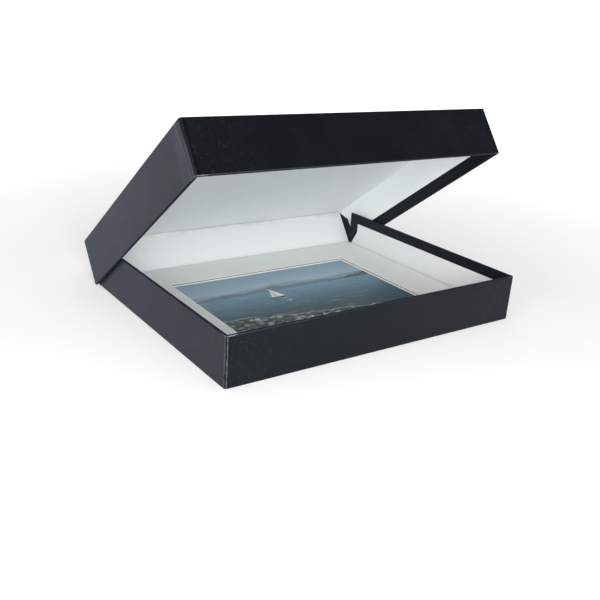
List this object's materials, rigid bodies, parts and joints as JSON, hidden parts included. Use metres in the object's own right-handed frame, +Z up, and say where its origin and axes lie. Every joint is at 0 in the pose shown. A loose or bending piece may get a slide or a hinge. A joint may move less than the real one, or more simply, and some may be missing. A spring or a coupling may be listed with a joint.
{
  "type": "photo storage box",
  "caption": "Cloth-covered board clamshell box, open on its hinged spine, with white lining and a window-matted print lying in the tray.",
  "frame": {"origin": "centre of the tray's underside, on the surface the box stands on", "axes": "+X along the box's long side, to the right seen from the front; +Y from the tray's front to the spine; +Z up"},
  "size_m": [0.3772, 0.3247, 0.2224],
  "materials": {
    "cover_cloth": "fine-grained black book cloth, semi-matt with a soft sheen",
    "lining": "matt white lining paper",
    "board": "grey millboard, uncoated",
    "mat": "matt off-white mat board, its slanted window cut tan above and white below",
    "backing": "white paper-faced foam board",
    "print": null
  },
  "bodies": {
    "tray": {"tray_base_board": "board", "tray_front_board": "board", "tray_left_board": "board", "tray_right_board": "board", "tray_wrap": "cover_cloth", "tray_base_lining": "lining", "tray_front_lining": "lining", "tray_left_lining": "lining", "tray_right_lining": "lining", "base_hinge_cloth": "cover_cloth", "base_hinge_lining": "lining"},
    "spine": {"spine_board": "board", "spine_wrap": "cover_cloth", "spine_lining": "lining", "top_hinge_cloth": "cover_cloth", "top_hinge_lining": "lining"},
    "lid": {"lid_top_board": "board", "lid_front_board": "board", "lid_left_board": "board", "lid_right_board": "board", "lid_wrap": "cover_cloth", "lid_top_lining": "lining", "lid_front_lining": "lining", "lid_left_lining": "lining", "lid_right_lining": "lining"},
    "print": {"backing_board": "backing", "photo_print": "print", "window_mat": "mat"}
  },
  "joints": [
    {"name": "spine_hinge", "type": "hinge", "parent": "tray", "child": "spine", "pos_m": [0, 0.14763, 0.0002], "axis": [-1, 0, 0], "range_deg": [-36.5, 53.5], "deforming": ["base_hinge_cloth", "base_hinge_lining"]},
    {"name": "lid_hinge", "type": "hinge", "parent": "spine", "child": "lid", "pos_m": [0, 0.1801, 0.04409], "axis": [-1, 0, 0], "range_deg": [0, 90], "deforming": ["top_hinge_cloth", "top_hinge_lining"]},
    {"name": "print_lift", "type": "slide", "parent": "tray", "child": "print", "axis": [0, 0, 1], "range_m": [0, 0.035]}
  ]
}
